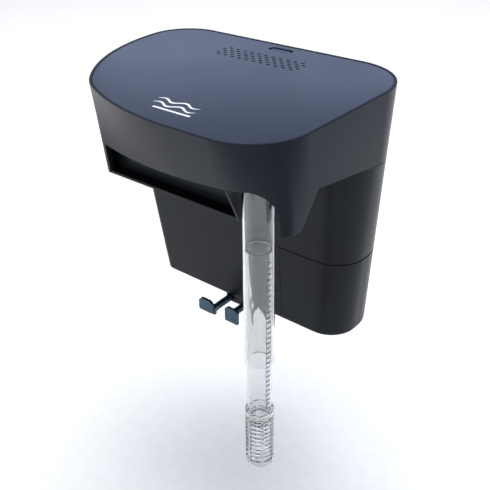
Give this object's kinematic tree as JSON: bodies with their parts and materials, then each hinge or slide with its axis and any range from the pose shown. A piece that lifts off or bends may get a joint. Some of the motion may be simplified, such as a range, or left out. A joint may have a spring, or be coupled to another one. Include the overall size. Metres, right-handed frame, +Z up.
{
  "type": "hang on back filter",
  "caption": "Hang-on-back aquarium filter: D-shaped hood with lift-off lid and outlet slot, tapered tank with pump cup, clear telescopic intake tube and strainer, toothed wall spacers.",
  "frame": {"origin": "middle of the seat face under the outlet chute, where the filter hangs on the tank's rim", "axes": "+Z up, -Y into the aquarium, +Y away from it, +X to the right of someone facing the filter's front"},
  "size_m": [0.266, 0.2183, 0.32],
  "materials": {
    "hood_abs": "satin",
    "lid_abs": "satin",
    "tank_abs": "satin",
    "pump_abs": "satin",
    "petrol_pom": "satin",
    "clear_acrylic": "gloss",
    "spring_steel": "bright",
    "screw_steel": "bright",
    "stator_iron": "laminated",
    "magnet_black": "satin",
    "seal_rubber": "matt",
    "ceramic_white": "matt",
    "filter_foam": "open cell"
  },
  "bodies": {
    "filter_body": {"hood_cover": "hood_abs", "outlet_chute": "tank_abs", "container_shell": "tank_abs", "pump_cup": "tank_abs", "cup_gasket": "seal_rubber", "cup_screws": "screw_steel", "pump_housing": "pump_abs", "motor_base_cap": "pump_abs", "motor_stator": "stator_iron", "lower_bushing": "seal_rubber", "ceramic_shaft": "ceramic_white", "volute_cover": "pump_abs", "upper_bushing": "seal_rubber", "inlet_seal": "seal_rubber", "intake_elbow": "tank_abs", "upper_intake_tube": "clear_acrylic", "elbow_collar": "petrol_pom", "foam_frame_one": "petrol_pom", "foam_frame_two": "petrol_pom", "filter_foam_one": "filter_foam", "filter_foam_two": "filter_foam", "media_basket": "pump_abs", "ceramic_rings": "ceramic_white", "spacer_guides": "tank_abs", "cable_gland": "seal_rubber"},
    "lid": {"lid_panel": "lid_abs", "latch_bracket": "hood_abs", "button_spring": "spring_steel"},
    "button": {"release_button": "petrol_pom"},
    "rotor": {"rotor_magnet": "magnet_black", "impeller_wheel": "petrol_pom"},
    "sliding_tube": {"lower_intake_tube": "clear_acrylic"},
    "strainer": {"intake_strainer": "clear_acrylic"},
    "spacer_left": {"spacer_bar_left": "petrol_pom", "spacer_pad_left": "petrol_pom"},
    "spacer_right": {"spacer_bar_right": "petrol_pom", "spacer_pad_right": "petrol_pom"}
  },
  "joints": [
    {"name": "lid_lift", "type": "slide", "parent": "filter_body", "child": "lid", "axis": [0, 0, 1], "range_m": [0, 0.06]},
    {"name": "button_press", "type": "slide", "parent": "lid", "child": "button", "axis": [0, 0, -1], "range_m": [0, 0.002], "stiffness_N_per_m": 400, "deforming": ["button_spring"]},
    {"name": "tube_slide", "type": "slide", "parent": "filter_body", "child": "sliding_tube", "axis": [0, 0, -1], "range_m": [-0.045, 0.085]},
    {"name": "strainer_pull", "type": "slide", "parent": "sliding_tube", "child": "strainer", "axis": [0, 0, -1], "range_m": [0, 0.02]},
    {"name": "impeller_spin", "type": "hinge", "parent": "filter_body", "child": "rotor", "pos_m": [0.084, 0.08, -0.121], "axis": [0, 0, 1], "continuous": true},
    {"name": "left_spacer_slide", "type": "slide", "parent": "filter_body", "child": "spacer_left", "axis": [0, -1, 0], "range_m": [-0.015, 0.02]},
    {"name": "right_spacer_slide", "type": "slide", "parent": "filter_body", "child": "spacer_right", "axis": [0, -1, 0], "range_m": [-0.015, 0.02]}
  ]
}
